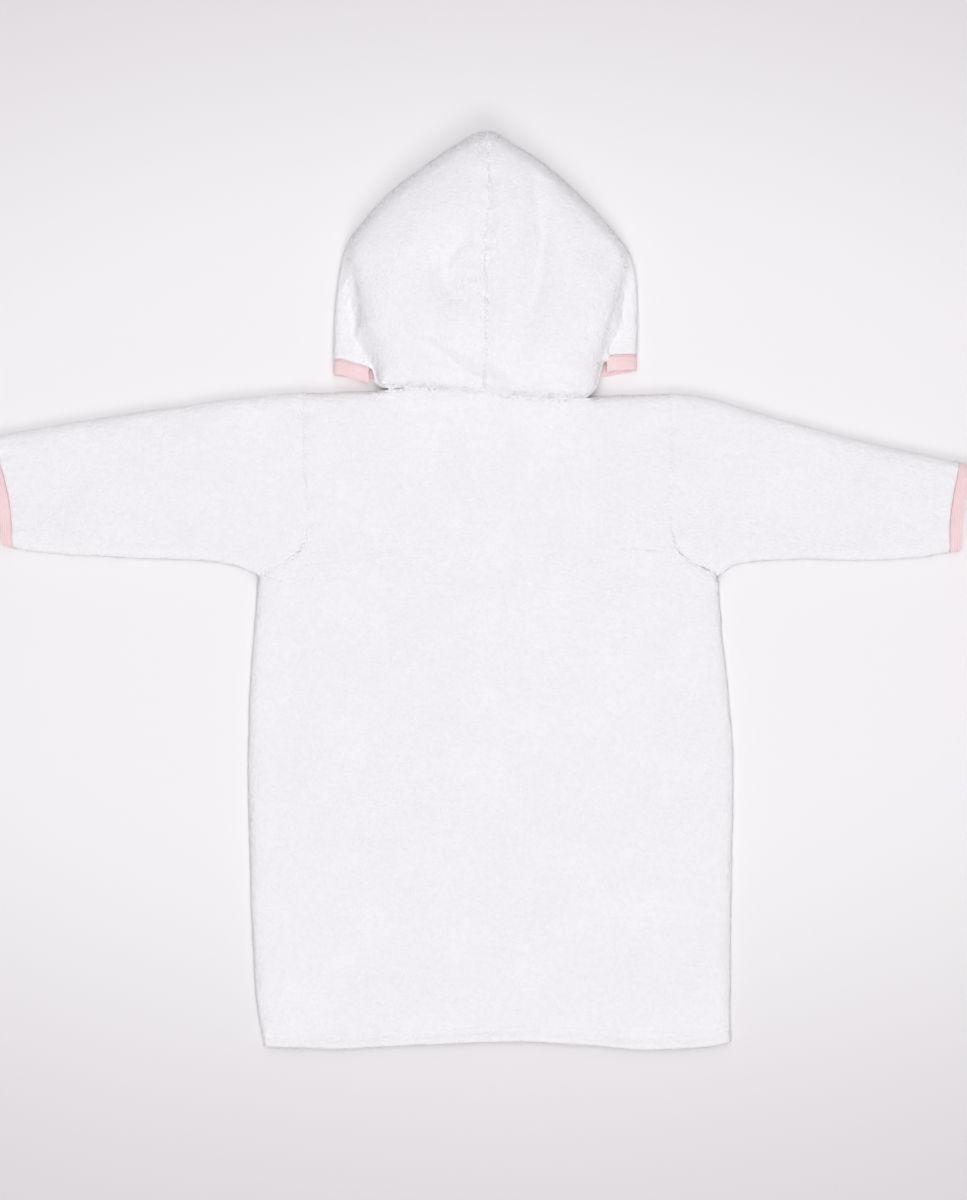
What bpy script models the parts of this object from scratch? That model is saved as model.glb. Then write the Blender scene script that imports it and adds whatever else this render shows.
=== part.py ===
"""A baby's hooded terry bathrobe, laid flat with its back upwards.

Sizes are in millimetres and are turned to metres where a mesh is made. +Z is up, +Y runs from the
hem to the hood, and the garment rests on z = 0. Left and right are the wearer's, which are also the
viewer's as the back is on top. Each sewn piece is one shell: a grid of points on its outer face,
made a shell by Solidify, whose result is kept.
"""
import math

import bmesh
import bpy
from mathutils import Matrix, Vector
from mathutils.geometry import intersect_point_line

MM = 0.001

# ---- driving dimensions ----
TERRY = 3.0            # wall of cotton terry, loops included
BINDING = 3.4          # wall of the folded binding
SEAM_GAP = 0.3         # between two pieces at a seam
NECK_GAP = 0.5         # the same at the neck seam, whose curve the two pieces' points cut
ARMHOLE_GAP = 1.0      # the same at an armhole, each way, as the two edges' points don't match
BINDING_GAP = 0.9      # the same at a binding, whose edge turns over with the cloth
HIDDEN_END = {"left": 2.0, "right": 5.0}   # of the hood's end edge, with no binding
FRONT_BINDING = 8.5    # width of the binding on the fronts
HOOD_BINDING = 12.0    # width of the binding on the hood
CUFF_BINDING = 10.0    # width of the binding round a cuff
BODY_HEIGHT = 9.8      # floor to the top of the back panel
SLEEVE_HEIGHT = 9.5    # floor to the top of a sleeve
FLAP_HEIGHT = 9.8      # floor to the top of the hood beside its dome
DOME_RISE = 20.0       # of the hood's dome above its flaps
DOME_SHOULDER = 50.0   # width over which the dome rounds up
FOOT = 3.4             # height of the straight foot of a rolled edge, just over a front panel
HEM_FOOT = 4.4         # floor to the lower lip of the back's hem, over the fronts' binding
ROLL = 13.0            # width of a rolled body edge
HOOD_ROLL = 12.0       # width of the hood's rolled rim
HOOD_END_ROLL = 6.0    # the same at the corners of the face edge
TURN = 4.0             # radius of the turn from a rim to the underside
HEM_STITCH = 10.5      # hem edge to its line of stitches
HEM_GROOVE = 1.6       # depth of the groove along those stitches
SEAM_GROOVE = 1.6      # depth of the groove along the hood's centre seam
NECK_Y = 149.0         # neck seam and shoulders
HEM_Y = -341.0         # lower edge
FRONT_EDGE_X = 7.9     # where the two fronts meet
MIDDLE_X = -5.5        # halfway between the two cuffs: the solids are moved so that it is x = 0
CUFF_BOW = {"left": 4.0, "right": 2.5}   # how far a cuff's end bows in from straight
ARM_RINGS, ARM_TOP, ARM_UNDER = 14, 6, 4   # steps along a sleeve, and across its two faces
ARM_TOP_INSET, ARM_UNDER_INSET = 13.0, 18.0   # where those faces start, from the edges
SEAM_PULL = 0.35       # share of a half hood that follows the bends of its centre seam
NECK_SPREAD = 0.045    # how far the hood's columns are pushed from its centre seam, at the neck
HOOD_UNDER, HOOD_COLUMNS = 8, 16   # steps of the hood's underside, and columns of a half

# Half outlines and seams, as (x, y) or (y, x) rows in mm.
LEFT_EDGE = (          # y, x: armhole seam, armpit, then the side
    (149.0, -134.0), (98.0, -134.5), (68.0, -132.0), (50.0, -129.5), (37.0, -131.0), (27.0, -139.0),
    (18.0, -153.0), (10.0, -169.5), (-31.0, -173.0), (-82.0, -176.5), (-132.0, -177.5),
    (-232.0, -175.0), (-307.0, -171.5), (-341.0, -165.0))
RIGHT_EDGE = (
    (149.0, 139.5), (98.0, 139.8), (68.0, 139.8), (50.0, 139.8), (37.0, 141.0), (27.0, 147.0),
    (18.0, 161.0), (10.0, 176.5), (-31.0, 179.5), (-82.0, 185.0), (-132.0, 188.5),
    (-232.0, 186.5), (-307.0, 185.5), (-341.0, 186.5))
NECK_LINE = (          # x, y: left shoulder, neck seam, right shoulder
    (-140.0, 148.5), (-83.0, 150.5), (-50.0, 152.0), (0.0, 147.8), (45.0, 143.5), (78.0, 144.3),
    (86.0, 147.5), (145.0, 147.8))
HEM_LINE = (
    (-170.0, -342.5), (-113.0, -344.5), (-62.0, -342.0), (7.0, -338.7), (37.0, -338.7),
    (87.0, -342.0), (117.0, -345.2), (168.0, -343.5), (190.0, -337.5))
NECK_LEFT, NECK_RIGHT = -81.0, 84.0   # where the neck seam ends and the shoulders begin
ARMPIT_Y = 14.0                       # above it the sides are armhole seams

SLEEVE_EDGES = {       # upper edge and lower edge, from the armhole to the cuff
    "left": (((-134.9, 149.0), (-168.0, 146.5), (-263.0, 133.5), (-330.0, 123.0), (-367.5, 116.0),
              (-378.5, 113.4)),
             ((-171.0, 12.0), (-183.0, 18.0), (-212.0, 22.5), (-263.0, 24.0), (-333.0, 28.5),
              (-351.0, 31.5), (-361.5, 34.0))),
    "right": (((140.3, 148.3), (162.0, 146.5), (228.0, 127.5), (288.0, 111.8), (341.0, 100.0),
               (367.5, 94.5)),
              ((178.0, 12.0), (187.0, 19.5), (228.0, 23.3), (288.0, 22.5), (330.0, 25.0),
               (358.0, 29.5))),
}

HOOD_SEAM = ((345.0, 2.6), (300.0, 5.4), (255.0, 0.8), (210.0, 2.4), (148.0, 0.6))   # y, x
HOOD_RIM = {           # from the tip to the corner of the face edge
    "left": ((2.6, 345.0), (-4.0, 344.2), (-21.5, 336.0), (-42.5, 321.0), (-60.5, 308.0),
             (-81.5, 289.0), (-103.9, 259.5), (-109.0, 235.0), (-112.9, 203.0), (-113.0, 174.5)),
    "right": ((2.6, 345.0), (9.0, 344.2), (22.0, 336.0), (44.5, 322.5), (76.0, 294.0),
              (102.5, 265.0), (112.5, 250.0), (116.0, 229.5), (116.0, 203.0), (115.5, 178.0)),
}
HOOD_NECK = {          # from the centre seam to the inner end of the visible binding
    "left": ((0.6, 148.1), (-50.0, 152.4), (-76.0, 152.2), (-82.0, 155.5)),
    "right": ((0.6, 148.1), (45.0, 143.8), (78.0, 144.6), (86.0, 153.0)),
}
HOOD_END = {            # the hood's end edge, from the neck seam out to the rim's turn
    "left": ((-82.0, 155.5), (-84.0, 166.0), (-94.0, 169.6), (-107.0, 172.8)),
    "right": ((86.0, 153.0), (90.0, 170.0), (94.0, 176.5), (109.5, 177.6)),
}
VALLEYS = (             # between the dome and the flaps beside it, as troughs
    {"path": ((-103.0, 246.0), (-98.0, 215.0), (-95.5, 194.0), (-88.5, 175.5), (-84.4, 165.0)),
     "depth": 2.6, "width": 8.0},
    {"path": ((108.0, 245.0), (104.0, 203.3), (98.5, 186.0), (93.0, 173.0)),
     "depth": 2.6, "width": 8.0},
)
HOOD_FACE = {          # the underside's edge, from the centre seam to the rim's corner
    "left": ((1.5, 173.0), (-60.0, 172.5), (-90.0, 172.6), (-104.0, 173.6), (-107.5, 174.0)),
    "right": ((1.5, 173.0), (60.0, 172.5), (90.0, 174.0), (107.0, 176.8), (110.5, 177.4)),
}
DOME_OUTLINE = (       # the foot of the dome: neck seam, right valley, rim, left valley
    (0.6, 148.1), (45.0, 143.8), (80.0, 144.6), (84.5, 152.0), (88.0, 172.0), (94.0, 187.0),
    (102.4, 203.0), (106.0, 235.0), (112.0, 252.0), (102.5, 265.0), (76.0, 294.0), (44.5, 322.5),
    (22.0, 336.0), (2.6, 345.0), (-21.5, 336.0), (-42.5, 321.0), (-60.5, 308.0), (-81.5, 289.0),
    (-103.9, 259.5), (-101.6, 238.5), (-97.0, 215.0), (-94.0, 196.0), (-86.0, 180.0),
    (-81.0, 168.0), (-78.5, 152.3), (-50.0, 152.4))

# Folds as soft troughs: a path in mm, its depth and half width. A negative depth is a ridge.
BODY_FOLDS = (
    {"path": ((7.5, 138.0), (9.0, 0.0), (7.0, -120.0)), "depth": 1.4, "width": 12.0},
    {"path": ((7.0, -110.0), (8.0, -200.0), (5.0, -335.0)), "depth": 2.3, "width": 12.0},
    {"path": ((142.0, 3.0), (158.0, -97.0), (159.0, -181.0), (155.0, -262.0), (147.0, -307.0)),
     "depth": 1.6, "width": 9.0},
    {"path": ((-146.0, 8.0), (-148.0, -80.0), (-146.0, -172.0)), "depth": 1.2, "width": 9.0},
    {"path": ((-122.0, -156.0), (0.0, -159.0), (127.0, -155.0)), "depth": 0.9, "width": 8.0},
    {"path": ((77.0, 14.0), (130.0, 12.0), (170.0, 6.0)), "depth": 1.0, "width": 7.0},
    {"path": ((-60.0, -250.0), (-66.0, -330.0)), "depth": 0.8, "width": 14.0},
    {"path": ((84.0, -240.0), (90.0, -330.0)), "depth": 0.8, "width": 14.0},
)
SLEEVE_FOLDS = {
    "left": ({"path": ((-218.0, 70.0), (-196.0, 46.0), (-178.0, 30.0)), "depth": 1.8, "width": 9.0},
             {"path": ((-154.0, 138.0), (-156.0, 88.0)), "depth": 1.0, "width": 9.0},
             {"path": ((-353.0, 108.0), (-327.0, 78.0), (-335.0, 46.0)), "depth": 1.6, "width": 9.0},
             {"path": ((-240.0, 128.0), (-300.0, 92.0)), "depth": 0.9, "width": 12.0}),
    "right": ({"path": ((153.0, 57.0), (190.0, 54.0), (228.0, 48.0), (282.0, 43.5)),
               "depth": 1.9, "width": 9.0},
              {"path": ((335.0, 92.0), (334.0, 56.0)), "depth": 1.6, "width": 8.0},
              {"path": ((175.0, 125.0), (240.0, 98.0)), "depth": 0.9, "width": 12.0}),
}
HOOD_FOLDS = (
    {"path": ((-7.9, 266.0), (-24.0, 250.0), (-30.0, 241.0), (-21.5, 212.0)), "depth": 5.0, "width": 9.0},
    {"path": ((38.0, 313.0), (44.5, 260.0), (39.5, 224.0), (34.0, 207.0), (27.5, 182.0)),
     "depth": 4.5, "width": 9.0},
    {"path": ((59.0, 247.0), (104.0, 254.0)), "depth": 3.0, "width": 9.0},
    {"path": ((-60.0, 189.0), (-36.0, 178.5), (-18.0, 167.0), (-4.0, 158.0), (15.0, 157.0)),
     "depth": 5.0, "width": 8.0},
)
HOOD_STATIONS = (0.0, 0.02, 0.06, 0.12, 0.2, 0.29, 0.38, 0.47, 0.56, 0.65, 0.74, 0.83, 0.92, 1.0)
FRONT_EDGE = (         # outer edge of the front binding: distance from the middle, y
    (76.0, 141.5), (62.0, 137.0), (37.0, 131.5), (16.0, 129.0), (6.0, 125.0), (1.5, 115.0),
    (1.5, -80.0), (1.5, -341.0))

# Steps in from an edge, as (distance, share of the height above the foot).
ROLLED = ((0.0, None), (0.1, 0.0), (1.2, 0.45), (4.0, 0.75), (8.0, 0.93), (ROLL, 1.0))
BUTTED = (0.0, 1.5, 3.5, 6.0, 9.0, ROLL)
HEMMED = ((0.0, 0.0), (0.3, 0.55), (1.4, 0.85), (4.5, 1.0), (HEM_STITCH, None), (16.0, 1.0))

SLEEVE_ROLL = ((1.0, 0.35), (3.5, 0.7), (8.0, 0.93))   # distance in, share of the upper half height
SLEEVE_TURN = ((1.2, 0.3), (4.5, 0.0))                 # distance in, share of the lower half height

SMOOTH_ANGLE = math.radians(50.0)


# ---- curves and folds ----
def lerp(a, b, t):
    return a + (b - a) * t


def smoothstep(t):
    t = min(max(t, 0.0), 1.0)
    return t * t * (3.0 - 2.0 * t)


def rounded(t):
    """A quarter round: 0 at t = 0, level at t = 1."""
    t = min(max(t, 0.0), 1.0)
    return math.sqrt(1.0 - (1.0 - t) ** 2)


def curve_point(points, share):
    """The point at a share (0 to 1) of the length of the smooth curve through the points."""
    knots = [0.0]
    for a, b in zip(points, points[1:]):
        knots.append(knots[-1] + math.dist(a, b))
    place = share * knots[-1]
    last = len(points) - 2
    i = next((k for k in range(last) if place <= knots[k + 1]), last)

    def tangent(k):
        before, after = max(k - 1, 0), min(k + 1, len(points) - 1)
        return (Vector(points[after]) - Vector(points[before])) / (knots[after] - knots[before])

    span = knots[i + 1] - knots[i]
    t = (place - knots[i]) / span
    a, b = Vector(points[i]), Vector(points[i + 1])
    return ((2 * t**3 - 3 * t**2 + 1) * a + (t**3 - 2 * t**2 + t) * span * tangent(i)
            + (3 * t**2 - 2 * t**3) * b + (t**3 - t**2) * span * tangent(i + 1))


def table_value(rows, key):
    """The second column of a two-column table, read at a value of the first."""
    rows = sorted(rows)
    if key <= rows[0][0]:
        return rows[0][1]
    for (k0, v0), (k1, v1) in zip(rows, rows[1:]):
        if key <= k1:
            return lerp(v0, v1, (key - k0) / (k1 - k0))
    return rows[-1][1]


def path_distance(point, path):
    """Distance from a point to a path of straight runs, and its place along it (0 to 1)."""
    lengths = [math.dist(a, b) for a, b in zip(path, path[1:])]
    best, place, before = math.inf, 0.0, 0.0
    for a, b, length in zip(path, path[1:], lengths):
        _, t = intersect_point_line(Vector(point), Vector(a), Vector(b))
        t = min(max(t, 0.0), 1.0)
        away = math.dist(point, (lerp(a[0], b[0], t), lerp(a[1], b[1], t)))
        if away < best:
            best, place = away, before + t * length
        before += length
    return best, place / before


def fold_depth(point, folds):
    """How far the cloth dips at a point, from all the folds near it."""
    dip = 0.0
    for fold in folds:
        away, place = path_distance(point, fold["path"])
        fade = smoothstep(place / 0.25) * smoothstep((1.0 - place) / 0.25)
        dip += fold["depth"] * (0.35 + 0.65 * fade) * math.exp(-(away / fold["width"]) ** 2)
    return dip


def inside(point, outline):
    """Whether a point lies inside a closed outline."""
    x, y = point
    odd = False
    for (x0, y0), (x1, y1) in zip(outline, outline[1:] + outline[:1]):
        if (y0 > y) != (y1 > y) and x < lerp(x0, x1, (y - y0) / (y1 - y0)):
            odd = not odd
    return odd


# ---- materials and meshes ----
def cloth_material(name, colour, roughness):
    material = bpy.data.materials.new(name)
    material.use_nodes = True
    shader = material.node_tree.nodes["Principled BSDF"]
    shader.inputs["Base Color"].default_value = (*colour, 1.0)
    shader.inputs["Roughness"].default_value = roughness
    shader.inputs["Metallic"].default_value = 0.0
    material.diffuse_color = (*colour, 1.0)
    return material


def finish_object(name, mesh, material, collection):
    mesh.materials.append(material)
    mesh.shade_smooth()
    mesh.set_sharp_from_angle(angle=SMOOTH_ANGLE)
    piece = bpy.data.objects.new(name, mesh)
    collection.objects.link(piece)
    return piece


def shell(name, grid, thickness, material, collection, ring=False):
    """A cloth shell from a grid of outer points in mm. Walking along a row and then on to the next
    row turns anticlockwise as seen from outside. A ring's rows are closed."""
    mesh_builder = bmesh.new()
    rows = [[mesh_builder.verts.new(Vector(point) * MM) for point in row] for row in grid]
    count = len(grid[0])
    for low, high in zip(rows, rows[1:]):
        for i in range(count if ring else count - 1):
            j = (i + 1) % count
            mesh_builder.faces.new((low[i], low[j], high[j], high[i]))
    mesh = bpy.data.meshes.new(name)
    mesh_builder.to_mesh(mesh)
    mesh_builder.free()
    piece = finish_object(name, mesh, material, collection)
    wall = piece.modifiers.new("wall", "SOLIDIFY")
    wall.thickness = thickness * MM
    wall.offset = -1.0
    wall.use_quality_normals = True
    return rest_on_floor(piece)


def rest_on_floor(piece):
    """Applies the wall, then flattens what its inner face pushes below the floor."""
    evaluated = piece.evaluated_get(bpy.context.evaluated_depsgraph_get())
    mesh = bpy.data.meshes.new_from_object(evaluated)
    piece.modifiers.clear()
    piece.data = mesh
    for vertex in mesh.vertices:
        vertex.co.z = max(vertex.co.z, 0.0)
    return piece


# ---- the back panel ----
def back_rows():
    """Distances down from the neck line to the hem line, with how each row's edge is worked."""
    top = [step[0] for step in ROLLED]
    bottom = [step[0] for step in HEMMED]
    length = NECK_Y - HEM_Y
    upper = [ROLL + (length * 0.27 - ROLL) * k / 7 for k in range(1, 7)]
    armpit = [118.0 + 4.6 * k for k in range(7)]
    lower_start = armpit[-1] + 9.0
    lower_end = length - bottom[-1]
    lower = [lerp(lower_start, lower_end, k / 15) for k in range(15)]
    middle = upper + armpit + lower
    return ([("neck", i, d) for i, d in enumerate(top)] + [("plain", 0, d) for d in middle]
            + [("hem", i, length - bottom[i]) for i in reversed(range(len(bottom)))])


def step_height(height, share, foot=FOOT):
    """Height of a step of a rolled edge: None is its foot on the floor."""
    return 0.0 if share is None else lerp(foot, height, share)


def back_point(kind, row, distance, column, columns):
    """One point of the back panel's outer face."""
    y = NECK_Y - distance
    left, right = table_value(LEFT_EDGE, y), table_value(RIGHT_EDGE, y)
    edges = len(ROLLED)
    rolled_side = smoothstep((ARMPIT_Y - y) / 9.0)
    from_edge = min(column, columns - 1 - column)
    inner = columns - 2 * edges
    if from_edge < edges:
        step = lerp(BUTTED[from_edge], ROLLED[from_edge][0], rolled_side)
        x = left + step if column < columns / 2 else right - step
    else:
        share = (column - edges + 1) / (inner + 1)
        x = lerp(left + ROLL, right - ROLL, share)
    deepest = BODY_HEIGHT - TERRY - BINDING - 2 * SEAM_GAP
    height = BODY_HEIGHT - min(fold_depth((x, y), BODY_FOLDS), deepest)
    z = height
    if from_edge < edges:
        z = lerp(height, step_height(height, ROLLED[from_edge][1]), rolled_side)
    if kind == "neck":
        neck = smoothstep((x - NECK_LEFT + 3.0) / 6.0) * smoothstep((NECK_RIGHT + 3.0 - x) / 6.0)
        y = NECK_Y - lerp(ROLLED[row][0], BUTTED[row], neck)
        z = min(z, lerp(step_height(height, ROLLED[row][1]), height, neck))
    if kind == "hem":
        share = HEMMED[row][1]
        lip = step_height(height, share, HEM_FOOT)
        z = min(z, height - HEM_GROOVE if share is None else lip)
    down = smoothstep(distance / (NECK_Y - HEM_Y))
    y += lerp(table_value(NECK_LINE, x) - NECK_Y, table_value(HEM_LINE, x) - HEM_Y, down)
    return x, y, z


def make_back(terry, collection):
    columns = 2 * len(ROLLED) + 19
    grid = [[back_point(kind, row, distance, column, columns) for column in range(columns)]
            for kind, row, distance in reversed(back_rows())]
    return shell("back", grid, TERRY, terry, collection)


# ---- the fronts, flat on the floor under the back ----
def front_edge(side, inset):
    """The front's edge from the neck to the hem, moved in from the binding's outer edge."""
    hand = -1.0 if side == "left" else 1.0
    outer = [Vector((FRONT_EDGE_X + hand * across, y)) for across, y in FRONT_EDGE]
    points = []
    for i, point in enumerate(outer):
        run = outer[min(i + 1, len(outer) - 1)] - outer[max(i - 1, 0)]
        inward = Vector((run.y, -run.x)).normalized() * (1.0 if side == "left" else -1.0)
        points.append(point + inward * inset)
    return points


def make_front(side, terry, collection):
    """A flat outline: shoulder, front edge, hem, side and armhole."""
    hand = -1.0 if side == "left" else 1.0
    table = LEFT_EDGE if side == "left" else RIGHT_EDGE
    neck_end = NECK_LEFT if side == "left" else NECK_RIGHT
    foot = TERRY + 2 * SEAM_GAP
    edge = front_edge(side, FRONT_BINDING + SEAM_GAP)
    hem_y = table_value(HEM_LINE, 0.5 * (neck_end + edge[-1].x)) + 1.5
    edge[-1].y = hem_y
    corner_x = table_value(table, HEM_Y) - hand * foot
    outline = [(neck_end + hand * 3.0, NECK_Y - foot - 1.5)] + [tuple(p) for p in edge]
    outline.append((corner_x - hand * 2.0, hem_y))
    for y, x in reversed(table):
        if y <= 10.0 and y > HEM_Y:
            outline.append((x - hand * foot, min(y, 5.0)))
        elif 10.0 < y < NECK_Y:
            outline.append((x, y))
    outline.append((table_value(table, NECK_Y), NECK_Y - foot - 1.5))
    curve = bpy.data.curves.new("front_" + side, "CURVE")
    curve.dimensions = "2D"
    curve.fill_mode = "BOTH"
    curve.extrude = 0.5 * TERRY * MM
    spline = curve.splines.new("POLY")
    spline.points.add(len(outline) - 1)
    for point, (x, y) in zip(spline.points, outline):
        point.co = (x * MM, y * MM, 0.0, 1.0)
    spline.use_cyclic_u = True
    curve.materials.append(terry)
    piece = bpy.data.objects.new("front_" + side, curve)
    piece.location.z = 0.5 * TERRY * MM
    collection.objects.link(piece)
    return piece


def make_front_binding(side, pink, collection):
    """The strip that finishes the front edge and half of the neckline."""
    outer = front_edge(side, 0.0)
    inner = front_edge(side, FRONT_BINDING)
    hem_y = inner[-1].y + 3.0
    outer[-1].y = inner[-1].y = hem_y
    rails = (inner, outer) if side == "left" else (outer, inner)
    grid = [[(p.x, p.y, BINDING) for p in rail] for rail in rails]
    return shell("front_binding_" + side, grid, BINDING, pink, collection)


# ---- the sleeves, flattened tubes ----
def sleeve_plan(side, around, along):
    """A point of the sleeve's outline patch: around runs from the upper to the lower edge, along
    from the armhole to the end of the cuff."""
    upper, lower = SLEEVE_EDGES[side]
    table = LEFT_EDGE if side == "left" else RIGHT_EDGE
    hand = -1.0 if side == "left" else 1.0
    seam = [(x + hand * ARMHOLE_GAP, y + ARMHOLE_GAP) for y, x in table if 10.0 < y < NECK_Y]
    armhole = [upper[0], *seam, lower[0]]
    cuff = (upper[-1], lower[-1])
    top, bottom = curve_point(upper, along), curve_point(lower, along)
    start = curve_point(armhole, around)
    level = Vector(cuff[0]).lerp(Vector(cuff[1]), around)
    end = level - Vector((hand * CUFF_BOW[side] * math.sin(math.pi * around), 0.0))
    straight = Vector(armhole[0]).lerp(Vector(armhole[-1]), around).lerp(level, along)
    ends = (Vector(armhole[0]).lerp(Vector(cuff[0]), along).lerp(
        Vector(armhole[-1]).lerp(Vector(cuff[1]), along), around))
    return top.lerp(bottom, around) + start.lerp(end, along) - (straight + ends) / 2


def sleeve_ring(side, along, swell=0.0):
    """One closed section of a sleeve. Swell is how far it stands proud of the plain section."""
    upper, lower = SLEEVE_EDGES[side]
    width = (sleeve_plan(side, 0.0, along) - sleeve_plan(side, 1.0, along)).length
    half = 0.5 * SLEEVE_HEIGHT
    ring = []

    def add(distance, from_upper, share, top):
        around = distance / width if from_upper else 1.0 - distance / width
        x, y = sleeve_plan(side, around, along)
        if top:
            height = SLEEVE_HEIGHT - fold_depth((x, y), SLEEVE_FOLDS[side]) + swell
            ring.append((x, y, lerp(half, height, share)))
        else:
            ring.append((x, y, half * share))

    add(0.0, True, 0.0, True)
    for distance, share in SLEEVE_ROLL:
        add(distance, True, share, True)
    for k in range(ARM_TOP + 1):
        add(lerp(ARM_TOP_INSET, width - ARM_TOP_INSET, k / ARM_TOP), True, 1.0, True)
    for distance, share in reversed(SLEEVE_ROLL):
        add(distance, False, share, True)
    add(0.0, False, 0.0, True)
    for distance, share in SLEEVE_TURN:
        add(distance, False, share, False)
    for k in range(ARM_UNDER + 1):
        add(lerp(ARM_UNDER_INSET, width - ARM_UNDER_INSET, k / ARM_UNDER), False, 0.0, False)
    for distance, share in reversed(SLEEVE_TURN):
        add(distance, True, share, False)
    return ring


def sleeve_rings(side, shares, swell=0.0):
    rings = [sleeve_ring(side, share, swell) for share in shares]
    return rings if side == "right" else [ring[::-1] for ring in rings]


def make_sleeve(side, terry, collection):
    upper = SLEEVE_EDGES[side][0]
    length = sum(math.dist(a, b) for a, b in zip(upper, upper[1:]))
    end = 1.0 - (CUFF_BINDING + BINDING_GAP) / length
    shares = [end * k / ARM_RINGS for k in range(ARM_RINGS + 1)]
    return shell("sleeve_" + side, sleeve_rings(side, shares), TERRY, terry, collection, ring=True)


def make_cuff_binding(side, pink, collection):
    upper = SLEEVE_EDGES[side][0]
    length = sum(math.dist(a, b) for a, b in zip(upper, upper[1:]))
    start = 1.0 - CUFF_BINDING / length
    shares = [start, lerp(start, 1.0, 0.5), 1.0]
    rings = sleeve_rings(side, shares, swell=0.4)
    return shell("cuff_binding_" + side, rings, BINDING, pink, collection, ring=True)


# ---- the hood ----
def hood_height(point):
    """Height of the hood's upper face, away from the turn of its rim."""
    dome = 0.0
    if inside(point, DOME_OUTLINE):
        away, _ = path_distance(point, DOME_OUTLINE + DOME_OUTLINE[:1])
        dome = DOME_RISE * rounded(away / DOME_SHOULDER)
    dip = fold_depth(point, HOOD_FOLDS) * min(1.0, dome / 12.0)
    return FLAP_HEIGHT + dome - dip - fold_depth(point, VALLEYS)


def hood_column(side, share):
    """The outer face along one line: up from the neck seam, round the rim, back to the face edge."""
    hand = -1.0 if side == "left" else 1.0
    rim = curve_point(HOOD_RIM[side], share)
    run = curve_point(HOOD_RIM[side], min(share + 0.02, 1.0)) - curve_point(
        HOOD_RIM[side], max(share - 0.02, 0.0))
    inward = hand * Vector((run.y, -run.x)).normalized()
    if share < 0.02:
        inward = Vector((0.0, -1.0))
    neck_share = share + NECK_SPREAD * (1.0 - share) * smoothstep(share / 0.05)
    neck = curve_point(HOOD_NECK[side], neck_share)
    seam_y = table_value(NECK_LINE, neck.x)
    along_seam = NECK_LEFT + 6.0 < neck.x < NECK_RIGHT - 6.0
    neck.y = NECK_GAP + (seam_y if along_seam else max(neck.y, seam_y))
    face = curve_point(HOOD_FACE[side], share)
    near_end = smoothstep((share - 0.8) / 0.2)
    roll = lerp(HOOD_ROLL, HOOD_END_ROLL, near_end)
    crest = rim + inward * roll
    column = []
    for k in HOOD_STATIONS:
        end = curve_point(HOOD_END[side], k)
        bend = end - Vector(HOOD_END[side][0]).lerp(Vector(HOOD_END[side][-1]), k)
        point = neck.lerp(crest, k) + bend * near_end ** 2
        column.append((*point, hood_height(point) if k else FLAP_HEIGHT))
    for part_way in (0.67, 0.33, 0.1):
        point = rim + inward * roll * part_way
        height = TURN + (hood_height(point) - TURN) * rounded(part_way * 1.3)
        column.append((*point, height))
    column.append((*rim, TURN))
    for distance, height in ((1.2, 0.3), (TURN, 0.0)):
        column.append((*(rim + inward * distance), TURN * height))
    under = rim + inward * TURN
    for k in range(1, HOOD_UNDER + 1):
        column.append((*under.lerp(face, k / HOOD_UNDER), 0.0))
    return column



def hood_grid(side):
    """All columns of one hood panel. The first two lie level along the centre seam."""
    hand = -1.0 if side == "left" else 1.0
    shares = [0.0, 0.008, 0.028] + [lerp(0.085, 1.0, k / HOOD_COLUMNS) for k in range(HOOD_COLUMNS + 1)]
    columns = [hood_column(side, share) for share in shares]
    (tip_y, tip_x), (foot_y, foot_x) = HOOD_SEAM[0], HOOD_SEAM[-1]
    for place, share in enumerate(shares):
        pull = 1.0 - smoothstep(share / SEAM_PULL)
        columns[place] = [
            (x + pull * (table_value(HOOD_SEAM, y) - lerp(foot_x, tip_x, (y - foot_y) / (tip_y - foot_y))), y, z)
            for x, y, z in columns[place]]
    middle = columns[0]
    for place, (offset, groove) in enumerate(((0.0, SEAM_GROOVE), (2.0, SEAM_GROOVE), (6.5, 0.0))):
        stitched = []
        for k, (x, y, z) in enumerate(middle):
            top = k < len(HOOD_STATIONS)
            x = table_value(HOOD_SEAM, y) + hand * (0.5 * SEAM_GAP + offset)
            if place == 2:
                y = lerp(y, columns[2][k][1], 0.5)
            stitched.append((x, y, z - groove if top else z))
        columns[place] = stitched
    return columns


def make_hood(side, terry, collection):
    columns = hood_grid(side)
    if side == "right":
        columns = columns[::-1]
    return shell("hood_" + side, columns, TERRY, terry, collection)


def make_hood_binding(pink, collection):
    """The strip round the face edge: along each side's visible end, over the corner and beneath."""
    rail = {}
    for side in ("left", "right"):
        columns = hood_grid(side)
        start = abs(columns[-1][0][0]) + HIDDEN_END[side]
        corner = [point for point in columns[-1] if abs(point[0]) > start]
        beneath = [column[-1] for column in reversed(columns[1:-1])]
        rail[side] = corner + beneath
    path = rail["left"] + rail["right"][::-1]
    grid = [[(x, y - BINDING_GAP - shift * HOOD_BINDING, z) for x, y, z in path]
            for shift in (0.0, 0.5, 1.0)]
    return shell("hood_binding", grid, BINDING, pink, collection)


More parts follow.
